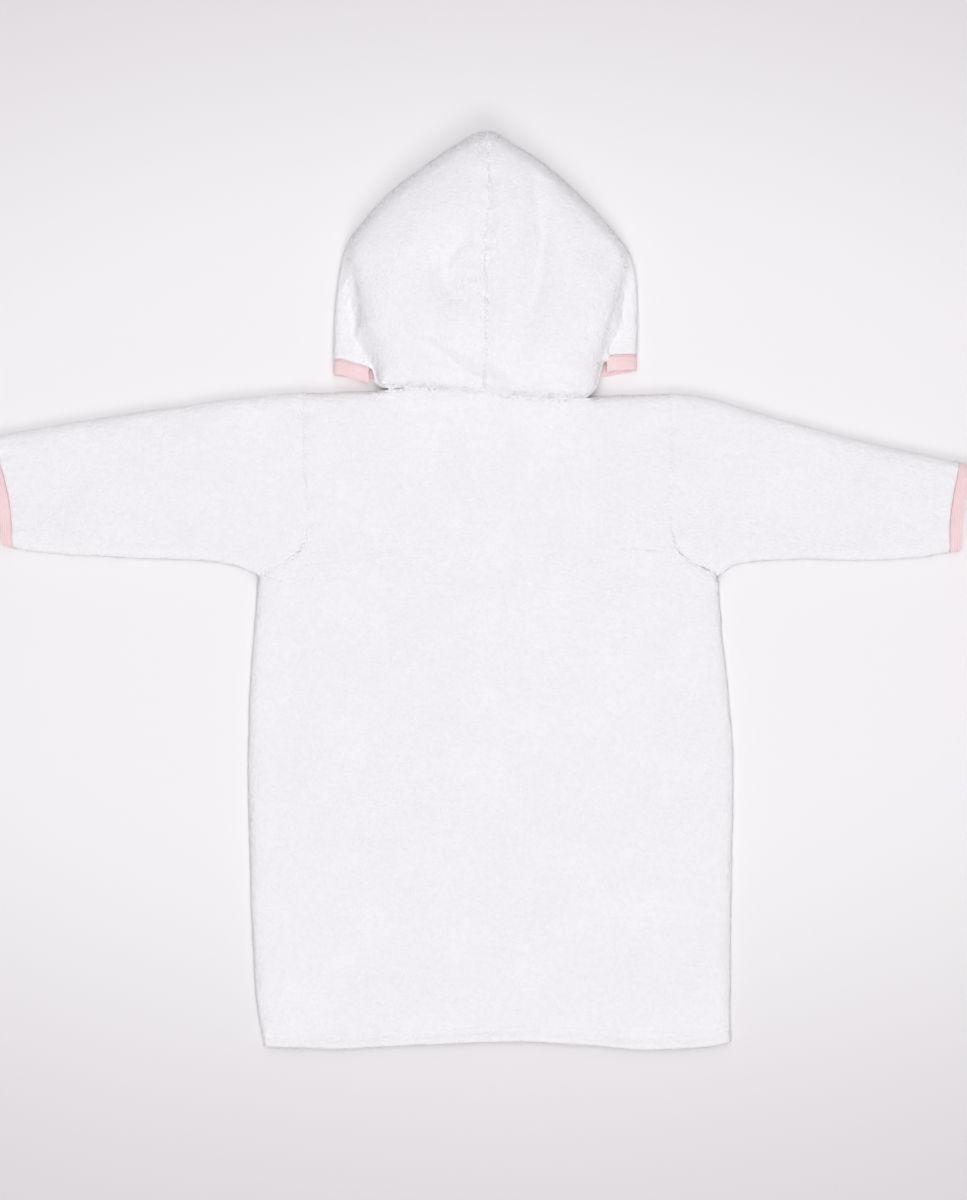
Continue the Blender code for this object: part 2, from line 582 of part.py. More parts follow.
def main():
    for leftover in list(bpy.data.objects):
        bpy.data.objects.remove(leftover, do_unlink=True)
    collection = bpy.data.collections.new("baby_bathrobe")
    bpy.context.scene.collection.children.link(collection)
    terry = cloth_material("white_cotton_terry", (0.87, 0.86, 0.88), 0.95)
    pink = cloth_material("pale_pink_rib_binding", (0.90, 0.68, 0.70), 0.85)
    make_back(terry, collection)
    make_hood_binding(pink, collection)
    for side in ("left", "right"):
        make_front(side, terry, collection)
        make_front_binding(side, pink, collection)
        make_sleeve(side, terry, collection)
        make_cuff_binding(side, pink, collection)
        make_hood(side, terry, collection)
    for piece in collection.objects:
        piece.data.transform(Matrix.Translation((-MIDDLE_X * MM, 0.0, 0.0)))


main()
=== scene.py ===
# %% [markdown]
# # A baby's hooded bathrobe in white terry
# The bathrobe lies flat on a pale floor, its back upwards, with the sleeves spread and the hood
# above the shoulders. It is cut from cotton terry and bound in pink rib tape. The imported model
# gives every panel its true outline and main folds. This script gives them what a solid lacks: soft
# rims, small creases, a pile of cotton loops, ribs, stitches and seams.

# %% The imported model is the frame
import math

import bmesh
import bpy
import numpy as np
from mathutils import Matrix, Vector, noise
from mathutils.bvhtree import BVHTree


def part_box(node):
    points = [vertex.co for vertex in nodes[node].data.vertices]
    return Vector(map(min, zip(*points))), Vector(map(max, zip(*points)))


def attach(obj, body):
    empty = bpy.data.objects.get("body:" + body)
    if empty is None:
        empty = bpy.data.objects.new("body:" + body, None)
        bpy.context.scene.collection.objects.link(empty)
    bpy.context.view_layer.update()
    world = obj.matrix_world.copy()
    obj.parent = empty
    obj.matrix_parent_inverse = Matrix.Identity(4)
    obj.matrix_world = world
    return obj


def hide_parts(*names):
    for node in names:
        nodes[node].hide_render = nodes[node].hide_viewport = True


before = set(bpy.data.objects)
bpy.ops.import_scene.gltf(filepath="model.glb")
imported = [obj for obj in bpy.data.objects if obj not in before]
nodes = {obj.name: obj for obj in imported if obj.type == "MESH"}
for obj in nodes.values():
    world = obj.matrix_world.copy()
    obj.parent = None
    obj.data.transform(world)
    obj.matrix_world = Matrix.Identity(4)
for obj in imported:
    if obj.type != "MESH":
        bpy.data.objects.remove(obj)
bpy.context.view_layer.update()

MM = 0.001
ABOVE = 80 * MM          # higher than anything of the bathrobe, for rays that look down or up
scene = bpy.context.scene
print("CAD nodes:", sorted(nodes))

# %% [markdown]
# ## Camera
# The photograph looks straight down at the garment from a couple of metres, so the picture is
# nearly a plan. One pixel of its 967 x 1200 is 0.75 mm at the height of the cloth, and the lens
# follows from that. One function turns a pixel of the photograph into a place on the plan, so that
# a crease can be written down where it is seen.

# %% Camera
PIXEL = 0.75 * MM
PHOTO_HEIGHT = 1200 * PIXEL          # what the picture spans, top to bottom
PHOTO_MIDDLE = (483.5, 600)          # its middle, in pixels
ORIGIN = (476.17, 591.0)             # the pixel that shows the garment's own middle


def plan(x, y):
    """The place on the plan that a pixel of the photograph shows, in metres."""
    return ((x - ORIGIN[0]) * PIXEL, (ORIGIN[1] - y) * PIXEL)


CAMERA_HEIGHT = 1.9
CLOTH_HEIGHT = 7 * MM                # where the outlines lie, above the floor
SENSOR = 36.0                        # height of the camera's sensor in mm
camera_data = bpy.data.cameras.new("camera")
camera_data.sensor_fit = "VERTICAL"
camera_data.sensor_height = SENSOR
camera_data.lens = SENSOR * (CAMERA_HEIGHT - CLOTH_HEIGHT) / PHOTO_HEIGHT
camera = bpy.data.objects.new("camera", camera_data)
camera.location = (*plan(*PHOTO_MIDDLE), CAMERA_HEIGHT)
scene.collection.objects.link(camera)
scene.camera = camera
print(f"lens {camera_data.lens:.1f} mm")

# %% [markdown]
# ## Colours and nodes
# Colours are given as sRGB hex, as a colour picker shows them, and one function turns them linear
# for the shaders. A second adds a node with its settings and links, for materials and geometry
# alike, and a third starts an empty material for such nodes.

# %% Three helpers
def linear(code):
    """An sRGB hex colour as linear red, green, blue and alpha."""
    parts = [int(code[i : i + 2], 16) / 255 for i in (1, 3, 5)]
    curve = [c / 12.92 if c <= 0.04045 else ((c + 0.055) / 1.055) ** 2.4 for c in parts]
    return (*curve, 1.0)


def add(tree, kind, inputs=None, **settings):
    """Adds a node. inputs maps a socket to a value, or to the output that feeds it."""
    node = tree.nodes.new(kind)
    for name, value in settings.items():
        setattr(node, name, value)
    for key, value in (inputs or {}).items():
        if isinstance(value, bpy.types.NodeSocket):
            tree.links.new(value, node.inputs[key])
        else:
            node.inputs[key].default_value = value
    return node


def new_material(name):
    """An empty material, as (material, its tree)."""
    material = bpy.data.materials.new(name)
    material.use_nodes = True
    material.node_tree.nodes.clear()
    return material, material.node_tree


print(f"the screen's middle grey, #808080, is {linear('#808080')[0]:.2f} in linear light")

# %% [markdown]
# ## Floor and light
# The garment lies on a matt white studio table. Its colour holds a painted pool of lamplight,
# brighter in the middle and greyer out towards its edges. The main light is a broad, soft one
# beyond the hem and well above it, which leaves pale shadows along the shoulders and the hood's
# upper slopes.
# A reflector beyond the hood, a soft box overhead and the room's white walls fill the rest.
# Standard view keeps the whites as they are.

# %% Floor
material_floor, tree = new_material("matt_studio_table")
place = add(tree, "ShaderNodeTexCoord").outputs["Object"]
# Painted light: the table's colour is brighter in an oval pool in the middle and greyer, with
# cloudy noise, towards the edges, a painted falloff of the lamps.
middle = add(tree, "ShaderNodeVectorMath", {   # the bright part is wider than it is long
    0: place, 1: (0.62, 1.15, 1.0), 2: (0.0, -0.035, 0.0)}, operation="MULTIPLY_ADD")
reach = add(tree, "ShaderNodeVectorMath", {0: middle.outputs[0]}, operation="LENGTH")
away = add(tree, "ShaderNodeMapRange", {
    "Value": reach.outputs["Value"], "From Min": 0.25, "From Max": 0.66},
    interpolation_type="SMOOTHSTEP")
cloudy = add(tree, "ShaderNodeTexNoise", {"Vector": place, "Scale": 2.2, "Detail": 2.0})
edge = add(tree, "ShaderNodeMix", {
    0: cloudy.outputs["Fac"], 6: linear("#DEDBDD"), 7: linear("#E3DEE0")}, data_type="RGBA")
painted_lamp_pool = add(tree, "ShaderNodeMix", {
    0: away.outputs["Result"], 6: linear("#F7F5F6"), 7: edge.outputs[2]}, data_type="RGBA")
surface = add(tree, "ShaderNodeBsdfPrincipled", {
    "Base Color": painted_lamp_pool.outputs[2], "Roughness": 0.85, "Specular IOR Level": 0.2})
add(tree, "ShaderNodeOutputMaterial", {"Surface": surface.outputs[0]})

FLOOR_HALF = 3.0
corners = [(x * FLOOR_HALF, y * FLOOR_HALF, 0) for x, y in ((-1, -1), (1, -1), (1, 1), (-1, 1))]
mesh = bpy.data.meshes.new("floor")
mesh.from_pydata(corners, [], [(0, 1, 2, 3)])
mesh.materials.append(material_floor)
floor = bpy.data.objects.new("floor", mesh)
floor.location.z = -0.05 * MM        # just clear of the cloth that lies on it
scene.collection.objects.link(floor)
print(f"floor: {2 * FLOOR_HALF:.0f} m square")

# %% Light
def area_light(name, place, aim, size, watts):
    """A square soft box at place, turned towards aim."""
    data = bpy.data.lights.new(name, "AREA")
    data.shape, data.size, data.energy = "SQUARE", size, watts
    light = bpy.data.objects.new(name, data)
    light.location = place
    light.rotation_euler = (Vector(aim) - Vector(place)).to_track_quat("-Z", "Y").to_euler()
    scene.collection.objects.link(light)


area_light("window", (0.5, -5.0, 4.2), (0, 0, 0), 2.6, 118.0)
area_light("reflector", (0.3, 4.2, 3.4), (0, 0.2, 0), 2.6, 25.0)
area_light("ceiling", (0.0, 0.12, 2.1), (0, 0.12, 0), 2.0, 22.0)
world = bpy.data.worlds.new("white_room")
world.use_nodes = True
walls = world.node_tree.nodes["Background"].inputs
walls["Color"].default_value = linear("#F7F5F9")
walls["Strength"].default_value = 0.40
scene.world = world
scene.view_settings.view_transform = "Standard"
scene.view_settings.look = "None"
print("lights:", [light.name for light in bpy.data.lights])

# %% [markdown]
# ## Cotton terry
# Terry is a plain cotton weave with an extra warp that stands up in loops on both faces. Bleached
# cotton is a matt white, a little cool, and scatters light inside its yarns, so it has no shine but
# a faint sheen where the fibres are seen edge on. Clumps of loops are real relief, added further
# on. The material adds what is finer: the single loops, the stray fibres of each yarn, and the
# cloudy change from loops that lie one way to loops that lie another.

# %% Terry material
LOOP = 1.9 * MM          # from one loop to the next
FIBRE = 0.45 * MM        # stray fibres, drawn coarser than real ones so that they show


def terry_material(name, deep, pale):
    """Bleached cotton: cloudy white between two tones, with loops and fibres as bumps."""
    material, tree = new_material(name)
    place = add(tree, "ShaderNodeTexCoord").outputs["Object"]
    clouds = add(tree, "ShaderNodeTexNoise", {   # patches of about 40 mm
        "Vector": place, "Scale": 26.0, "Detail": 3.0, "Roughness": 0.6})
    clumps = add(tree, "ShaderNodeTexNoise", {
        "Vector": place, "Scale": 1 / (2 * LOOP), "Detail": 2.0})
    mottle = add(tree, "ShaderNodeMath", {
        0: clouds.outputs["Fac"], 1: clumps.outputs["Fac"]}, operation="MULTIPLY")
    shade = add(tree, "ShaderNodeMapRange", {
        "Value": mottle.outputs[0], "From Min": 0.12, "From Max": 0.42})
    colour = add(tree, "ShaderNodeMix", {
        0: shade.outputs["Result"], 6: linear(deep), 7: linear(pale)}, data_type="RGBA")
    wander = add(tree, "ShaderNodeTexNoise", {"Vector": place, "Scale": 1 / LOOP, "Detail": 1.0})
    bent = add(tree, "ShaderNodeVectorMath", {
        0: wander.outputs["Color"], 1: (0.9 * LOOP,) * 3, 2: place}, operation="MULTIPLY_ADD")
    loops = add(tree, "ShaderNodeTexVoronoi", {
        "Vector": bent.outputs[0], "Scale": 1 / LOOP}, feature="F1")
    knots = add(tree, "ShaderNodeBump", {
        "Height": loops.outputs["Distance"], "Strength": 0.7, "Distance": 0.7 * MM}, invert=True)
    fibres = add(tree, "ShaderNodeTexNoise", {
        "Vector": place, "Scale": 1 / FIBRE, "Detail": 3.0, "Roughness": 0.7})
    fluff = add(tree, "ShaderNodeBump", {
        "Height": fibres.outputs["Fac"], "Strength": 0.35, "Distance": 0.2 * MM,
        "Normal": knots.outputs[0]})
    surface = add(tree, "ShaderNodeBsdfPrincipled", {
        "Base Color": colour.outputs[2], "Roughness": 0.95, "Specular IOR Level": 0.15,
        "Sheen Weight": 0.4, "Sheen Roughness": 0.5, "Normal": fluff.outputs[0]})
    add(tree, "ShaderNodeOutputMaterial", {"Surface": surface.outputs[0]})
    return material


material_terry = terry_material("cotton_terry", "#F6F4F7", "#FBF9FC")
# Painted light: the stray loops are the same cotton in a paler copy, painted lighter so that their
# own shade doesn't leave them as dark specks.
material_loops_painted_lit = terry_material("cotton_loop_yarn_painted_lit", "#F9F7FA", "#FDFBFE")
print("terry material:", len(material_terry.node_tree.nodes), "nodes")

# %% [markdown]
# ## Rib tape and thread
# The edges are bound in a pale pink cotton rib tape, folded over the terry and sewn down. Its ribs
# run along the edge. Two numbers kept on each point of the tape, across and along it, let the ribs
# follow every bend. The thread is a matt spun polyester, white in the hem, pale pink on the tape.

# %% Rib tape material
RIB = 1.7 * MM           # from rib to rib, drawn coarser than the real 1 mm so that it shows
STITCH_OF_KNIT = 0.9 * MM
material_tape, tree = new_material("cotton_rib_tape_pink")
place = add(tree, "ShaderNodeTexCoord").outputs["Object"]
across = add(tree, "ShaderNodeAttribute", attribute_name="across").outputs["Fac"]
along = add(tree, "ShaderNodeAttribute", attribute_name="along").outputs["Fac"]
turn = add(tree, "ShaderNodeMath", {0: across, 1: 2 * math.pi / RIB}, operation="MULTIPLY")
rib = add(tree, "ShaderNodeMath", {0: turn.outputs[0]}, operation="COSINE")
knit_turn = add(tree, "ShaderNodeMath", {
    0: along, 1: 2 * math.pi / STITCH_OF_KNIT}, operation="MULTIPLY")
knit = add(tree, "ShaderNodeMath", {0: knit_turn.outputs[0]}, operation="SINE")
relief = add(tree, "ShaderNodeMath", {
    0: knit.outputs[0], 1: 0.3, 2: rib.outputs[0]}, operation="MULTIPLY_ADD")
wear = add(tree, "ShaderNodeTexNoise", {"Vector": place, "Scale": 60.0, "Detail": 3.0})
fuzz = add(tree, "ShaderNodeTexNoise", {"Vector": place, "Scale": 1 / FIBRE, "Detail": 3.0})
# Painted shade: the tape's colour is darker where the relief of ribs and knit is low, as shade in
# the grooves.
groove = add(tree, "ShaderNodeMapRange", {
    "Value": relief.outputs[0], "From Min": -1.2, "From Max": 0.6})
ribs_with_painted_shade = add(tree, "ShaderNodeMix", {
    0: groove.outputs["Result"], 6: linear("#F2C6C9"), 7: linear("#FBDADC")}, data_type="RGBA")
faded = add(tree, "ShaderNodeMix", {
    0: wear.outputs["Fac"], 6: ribs_with_painted_shade.outputs[2], 7: linear("#FDE6E7")}, data_type="RGBA")
bump_ribs = add(tree, "ShaderNodeBump", {
    "Height": relief.outputs[0], "Strength": 0.4, "Distance": 0.25 * MM})
bump_fuzz = add(tree, "ShaderNodeBump", {
    "Height": fuzz.outputs["Fac"], "Strength": 0.4, "Distance": 0.2 * MM,
    "Normal": bump_ribs.outputs[0]})
surface = add(tree, "ShaderNodeBsdfPrincipled", {
    "Base Color": faded.outputs[2], "Roughness": 0.9, "Specular IOR Level": 0.2,
    "Sheen Weight": 0.2, "Sheen Roughness": 0.5, "Normal": bump_fuzz.outputs[0]})
add(tree, "ShaderNodeOutputMaterial", {"Surface": surface.outputs[0]})
print("tape material:", len(tree.nodes), "nodes")

# %% Thread materials
TWIST = 0.6 * MM         # one turn of the thread's yarns


def thread_material(name, pale, deep):
    """Spun thread: a fine twist, painted darker where its bump is low, as shade between the yarns.
    """
    material, tree = new_material(name)
    place = add(tree, "ShaderNodeTexCoord").outputs["Object"]
    twist = add(tree, "ShaderNodeTexNoise", {"Vector": place, "Scale": 1 / TWIST, "Detail": 2.0})
    # Painted shade: the thread's colour follows the twist's bump and is darker in its low parts.
    colour = add(tree, "ShaderNodeMix", {
        0: twist.outputs["Fac"], 6: linear(deep), 7: linear(pale)}, data_type="RGBA")
    bump = add(tree, "ShaderNodeBump", {
        "Height": twist.outputs["Fac"], "Strength": 0.5, "Distance": 0.15 * MM})
    surface = add(tree, "ShaderNodeBsdfPrincipled", {
        "Base Color": colour.outputs[2], "Roughness": 0.6, "Specular IOR Level": 0.35,
        "Normal": bump.outputs[0]})
    add(tree, "ShaderNodeOutputMaterial", {"Surface": surface.outputs[0]})
    return material


material_white_thread = thread_material("polyester_thread_white", "#FBFAFC", "#E9E7EA")
material_pink_thread = thread_material("polyester_thread_pink", "#FBE6E8", "#F3CDD1")
print("materials:", [m.name for m in bpy.data.materials if m.users])

# %% [markdown]
# ## From a CAD panel to a soft panel
# Each CAD panel is a closed shell of flat faces. A copy of its mesh is merged back from loose
# triangles into quads and subdivided, which turns its folds into smooth ones and its square rims
# into round ones. The rims are creased a little first, so that they don't draw in. Where narrow
# faces meet on level cloth, subdividing can fold them over each other, and those points are
# smoothed until the cloth is level again.

# %% Soft copies
RIM_ANGLE = math.radians(50)
RIM_CREASE = 0.55
SAME_SPOT = 0.004 * MM   # corners of the CAD's triangles that are nearer than this are one point


def apply_modifiers(piece):
    """Turns what the modifiers make into the piece's own plain mesh."""
    shown = piece.evaluated_get(bpy.context.evaluated_depsgraph_get())
    mesh = bpy.data.meshes.new_from_object(shown)
    piece.modifiers.clear()
    old = piece.data
    piece.data = mesh
    bpy.data.meshes.remove(old)
    mesh.name = piece.name


def soft_copy(node_name, name, material, levels):
    """A subdivided copy of a CAD node's mesh, as a new object at the origin."""
    mesh = nodes[node_name].data.copy()
    mesh.materials.clear()
    shape = bmesh.new()
    shape.from_mesh(mesh)
    bmesh.ops.remove_doubles(shape, verts=shape.verts, dist=SAME_SPOT)
    bmesh.ops.join_triangles(
        shape, faces=shape.faces, angle_face_threshold=0.6, angle_shape_threshold=0.9)
    crease = shape.edges.layers.float.new("crease_edge")
    for edge in shape.edges:
        if len(edge.link_faces) == 2 and edge.calc_face_angle() > RIM_ANGLE:
            edge[crease] = RIM_CREASE
    shape.to_mesh(mesh)
    shape.free()
    piece = bpy.data.objects.new(name, mesh)
    scene.collection.objects.link(piece)
    soft = piece.modifiers.new("soft", "SUBSURF")
    soft.levels = soft.render_levels = levels
    apply_modifiers(piece)
    piece.data.materials.append(material)
    piece.data.polygons.foreach_set("use_smooth", [True] * len(piece.data.polygons))
    return piece


def triangles(piece):
    """How many triangles a piece has."""
    return sum(len(face.vertices) - 2 for face in piece.data.polygons)


SHOWN_PANELS = ("back", "sleeve_left", "sleeve_right", "hood_left", "hood_right")
FRONTS = ("front_left", "front_right")    # they lie below the back, so they need fewer faces
CUFF_TAPES = ("cuff_binding_left", "cuff_binding_right")
LONG_TAPES = ("hood_binding", "front_binding_left", "front_binding_right")
panels = {name: soft_copy(name, name + "_terry", material_terry, levels)
          for names, levels in ((SHOWN_PANELS, 2), (FRONTS, 1)) for name in names}
tapes = {name: soft_copy(name, name + "_tape", material_tape, levels)
         for names, levels in ((CUFF_TAPES, 3), (LONG_TAPES, 2)) for name in names}
every_piece = {**panels, **tapes}
print(f"{len(panels)} panels and {len(tapes)} tapes")

# %% Smooth out folded faces
LEVEL = 0.9              # upward share of the normal on cloth that lies level
FOLDED = 0.7             # a face whose normal agrees less than this with its neighbours is folded
ROUNDS = 8


def relax(piece):
    """Smooths the points on level cloth where narrow faces have folded over each other."""
    shape = bmesh.new()
    shape.from_mesh(piece.data)
    for _ in range(ROUNDS):
        pinched = set()
        for vertex in shape.verts:
            faces = vertex.link_faces
            mean = sum((face.normal * face.calc_area() for face in faces), Vector()).normalized()
            if abs(mean.z) > LEVEL and any(face.normal.dot(mean) < FOLDED for face in faces):
                pinched.add(vertex)
                pinched.update(edge.other_vert(vertex) for edge in vertex.link_edges)
        bmesh.ops.smooth_vert(shape, verts=list(pinched), factor=0.5,
                              use_axis_x=True, use_axis_y=True, use_axis_z=True)
        shape.normal_update()
    shape.to_mesh(piece.data)
    shape.free()
    return len(pinched)


for name in SHOWN_PANELS:
    print(f"{panels[name].name}: {relax(panels[name])} points still pinched")
for piece in every_piece.values():
    print(f"{piece.name}: {triangles(piece)} triangles")

# %% [markdown]
# ## Which skin shows
# Terry has loops on both faces, but only those on the outside can be seen, so only they are made.
# A point is outside when nothing lies straight above it, it doesn't face the floor and it isn't the
# cut edge in a seam. The answer is kept on each point as a number called pile, from 0 to 1.

# %% Find the outer skin
def as_arrays(mesh):
    """A mesh's points and their normals."""
    points = np.empty(len(mesh.vertices) * 3, np.float32)
    mesh.vertices.foreach_get("co", points)
    normals = np.empty(len(mesh.vertices) * 3, np.float32)
    mesh.vertices.foreach_get("normal", normals)
    return points.reshape(-1, 3), normals.reshape(-1, 3)


def one_tree(pieces):
    """One search tree of all these pieces' faces."""
    points, faces = [], []
    for piece in pieces:
        start = len(points)
        points += [v.co.copy() for v in piece.data.vertices]
        faces += [[start + i for i in face.vertices] for face in piece.data.polygons]
    return BVHTree.FromPolygons(points, faces)


def keep_number(mesh, name, values):
    """Keeps one number for each point of a mesh, under a name that nodes can read."""
    numbers = mesh.attributes.new(name, "FLOAT", "POINT").data
    numbers.foreach_set("value", np.asarray(values, np.float32))


def kept_number(mesh, name):
    """The numbers that a mesh keeps under this name."""
    values = np.empty(len(mesh.vertices), np.float32)
    mesh.attributes[name].data.foreach_get("value", values)
    return values


UP = Vector((0, 0, 1))
SEAM_REACH = 2.2 * MM    # pieces nearer than this to each other are sewn together
LOWEST = 1.2 * MM        # below this the cloth rests on the floor
CLEAR = 0.4 * MM         # a ray starts this far off the skin, so that it doesn't hit its own face
whole = one_tree(every_piece.values())


def outer_skin(piece):
    """1 for each point that shows from above or from the side, 0 for the others."""
    points, normals = as_arrays(piece.data)
    shows = np.zeros(len(points))
    for i, (point, normal) in enumerate(zip(points, normals)):
        if normal[2] > -0.3 and point[2] > LOWEST:
            out = Vector(normal)
            start = Vector(point) + out * CLEAR
            over, beside = whole.ray_cast(start, UP, ABOVE), whole.ray_cast(start, out, SEAM_REACH)
            shows[i] = over[0] is None and beside[0] is None
    return shows


def evened(mesh, values):
    """The values averaged twice with those of neighbouring points, so that they change gently."""
    ends = np.array([edge.vertices[:] for edge in mesh.edges])
    count = np.bincount(ends.ravel(), minlength=len(values)) + 1
    for _ in range(2):
        total = values.copy()
        np.add.at(total, ends[:, 0], values[ends[:, 1]])
        np.add.at(total, ends[:, 1], values[ends[:, 0]])
        values = total / count
    return values


for name, panel in panels.items():
    pile = evened(panel.data, outer_skin(panel))
    keep_number(panel.data, "pile", pile)
    print(f"{panel.name}: {pile.mean():.0%} of its points show")

# %% [markdown]
# ## Ribs of the tapes
# The tape's ribs run along it. Each point of a tape keeps its distance from the panel that the tape
# is sewn to, called across, and its place along the tape. The ribs are raised on the mesh, and the
# material reads the same two numbers for their colour and for the knit between them, with painted
# shade in the grooves.

# %% Measure and raise the ribs
RIB_HEIGHT = 0.16 * MM
SEWN_TO = {   # a tape: the panels that it is sewn to
    "cuff_binding_left": ("sleeve_left",),
    "cuff_binding_right": ("sleeve_right",),
    "hood_binding": ("hood_left", "hood_right"),
    "front_binding_left": ("front_left",),
    "front_binding_right": ("front_right",),
}
for name, tape in tapes.items():
    panel_tree = one_tree([panels[n] for n in SEWN_TO[name]])
    points, normals = as_arrays(tape.data)
    across = np.array([panel_tree.find_nearest(Vector(p))[3] for p in points])
    keep_number(tape.data, "across", across)
    keep_number(tape.data, "along", points[:, 0 if name == "hood_binding" else 1])
    above_floor = points[:, 2] > 1.0 * MM
    ribs = RIB_HEIGHT * np.cos(2 * math.pi * across / RIB) * above_floor
    moved = points + normals * (ribs - RIB_HEIGHT)[:, None]
    tape.data.vertices.foreach_set("co", moved.ravel())
    tape.data.update()
    print(f"{tape.name}: {across.max() / MM:.1f} mm wide, {across.max() / RIB:.0f} ribs")

# %% [markdown]
# ## Closing the seams
# Solids stand a little apart where two pieces are sewn together, because solids may not touch.
# Thread draws real cloth together. So each point on a cut edge that faces another piece moves a
# little past the middle of the gap, and the round rims of the two pieces then press on each other
# in a groove. Layers that only lie on each other, such as the hood on the back, stay as they are.

# %% Draw the edges together
CLOSE = 0.56             # share of the gap that each side closes
ARMHOLE_REACH = 4.5 * MM    # the curve below the arm stands further open, at any slant
FACING = 0.3             # a point on the edge looks at the other piece; one on the skin doesn't
SLANT = 0.5              # a gap that slants more than this is between layers, not in a seam
trees = {name: one_tree([piece]) for name, piece in every_piece.items()}
boxes = {name: np.array(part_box(name)) for name in every_piece}
drawn_spots = {}         # for each two pieces, the points that were moved


def drawn_to(point, way, other, armhole):
    """The spot on another piece that a point facing this way is sewn to, or None."""
    reach = ARMHOLE_REACH if armhole else SEAM_REACH
    spot, _, _, gap = trees[other].find_nearest(point, reach)
    if not spot or gap == 0 or (spot - point).dot(way) <= FACING * gap:
        return None
    return spot if armhole or abs(spot.z - point.z) < SLANT * gap else None


for name, piece in every_piece.items():
    points, _ = as_arrays(piece.data)
    low, high = points.min(0) - ARMHOLE_REACH, points.max(0) + ARMHOLE_REACH
    near = [other for other, box in boxes.items()
            if other != name and np.all(box[0] < high) and np.all(box[1] > low)]
    drawn = 0
    ways = [vertex.normal.copy() for vertex in piece.data.vertices]
    for vertex, way in zip(piece.data.vertices, ways):
        for other in near:
            armhole = "back" in (name, other) and "sleeve" in name + other
            spot = drawn_to(vertex.co, way, other, armhole)
            if spot:
                vertex.co += (spot - vertex.co) * CLOSE
                drawn_spots.setdefault(frozenset((name, other)), []).append(vertex.co.copy())
                drawn += 1
                break
    piece.data.update()
    print(f"{piece.name}: {drawn} points drawn in, beside {near}")

# %% [markdown]
# ## Small creases and the pile
# The solids hold the main folds. A real garment also puckers along its seams, where the thread
# draws in the cloth, drags from the armpits, and is nowhere quite even in thickness. Each seam gets
# a row of puckers that fade out within a centimetre or two, the drags are listed one by one, and a
# soft noise does the rest. The pile is a finer relief, in which loops stand in clumps a few
# millimetres across. For all this the outer skin is divided once more, and only it moves, along
# its normals, which are averaged first so that points beside each other don't cross.

# %% Divide the outer skin
def divide_outer_skin(piece):
    """Divides each face on the outside in four."""
    shape = bmesh.new()
    shape.from_mesh(piece.data)
    pile = shape.verts.layers.float["pile"]
    outside = [face for face in shape.faces if all(vertex[pile] > 0.5 for vertex in face.verts)]
    edges = {edge for face in outside for edge in face.edges}
    bmesh.ops.subdivide_edges(shape, edges=list(edges), cuts=1, use_grid_fill=True)
    for face in shape.faces:
        face.smooth = True
    shape.to_mesh(piece.data)
    shape.free()


for name in SHOWN_PANELS:
    divide_outer_skin(panels[name])
    print(f"{panels[name].name}: {triangles(panels[name])} triangles")

# %% Where the creases are
SEAMS = {   # path in the photograph's pixels; a pucker's length, reach and height in mm
    "neck": (((376, 390), (417, 388), (483, 394), (543, 400), (590, 399), (597, 392)), 9, 16, 0.7),
    "hem": (((258, 1036), (333, 1037), (400, 1034), (533, 1029), (600, 1033), (707, 1036),
             (732, 1028)), 7, 7, 0.8),
    "armhole_left": (((303, 393), (303, 470), (309, 520), (297, 556), (262, 574)), 10, 11, 0.7),
    "armhole_right": (((669, 393), (670, 530), (678, 553), (712, 568)), 10, 12, 0.8),
    "hood_middle": (((487, 134), (491, 200), (484, 262), (487, 320), (484, 392)), 8, 10, 0.8),
    "cuff_left": (((-5, 436), (9, 490), (15, 545)), 6, 12, 0.7),
    "cuff_right": (((957, 462), (949, 505), (947, 552)), 6, 12, 0.7),
}
DRAGS = (   # path in the photograph's pixels; half width and height in mm, below 0 for a trough
    # the back: from the armpits, from the neck, beside the armholes and above the hem
    (((262, 590), (300, 640), (330, 700)), 9, 0.8),
    (((712, 588), (668, 650), (640, 720)), 9, 0.8),
    (((400, 404), (392, 440), (380, 490)), 7, 0.6),
    (((560, 408), (572, 450), (590, 500)), 7, 0.6),
    (((330, 420), (322, 470), (330, 530)), 8, -0.7),
    (((644, 415), (650, 470), (640, 540)), 8, -0.6),
    (((270, 860), (340, 850), (420, 862)), 10, 0.6),
    (((560, 905), (640, 893), (712, 900)), 10, 0.6),
    (((300, 960), (380, 975), (450, 968)), 12, -0.6),
    # along the sleeves
    (((60, 470), (110, 500), (190, 510)), 9, -0.8),
    (((90, 430), (160, 445), (230, 430)), 8, 0.6),
    (((760, 455), (820, 480), (900, 490)), 8, 0.7),
    (((800, 545), (860, 520), (925, 522)), 8, -0.8),
    # the hood: soft ridges, the creases above the neck and in the middle, and beside the flaps
    (((385, 300), (410, 250), (440, 205)), 9, 0.9),
    (((590, 330), (585, 285), (560, 230)), 9, 0.9),
    (((430, 330), (425, 305), (430, 280)), 7, 0.8),
    (((400, 337), (436, 353), (459, 369), (478, 381), (506, 382)), 3.6, -2.1),
    (((405, 327), (440, 342), (470, 358), (500, 373)), 4.0, 1.3),
    (((473, 236), (450, 259), (443, 269), (455, 310)), 4.5, -1.8),
    (((534, 173), (543, 245), (536, 292), (529, 315), (520, 350)), 4.5, -2.1),
    (((512, 190), (516, 250), (510, 310), (504, 350)), 6, 1.1),
    (((352, 268), (356, 300), (350, 345)), 3.5, -1.2),
    (((622, 285), (614, 320), (606, 350)), 3.5, -1.2),
)


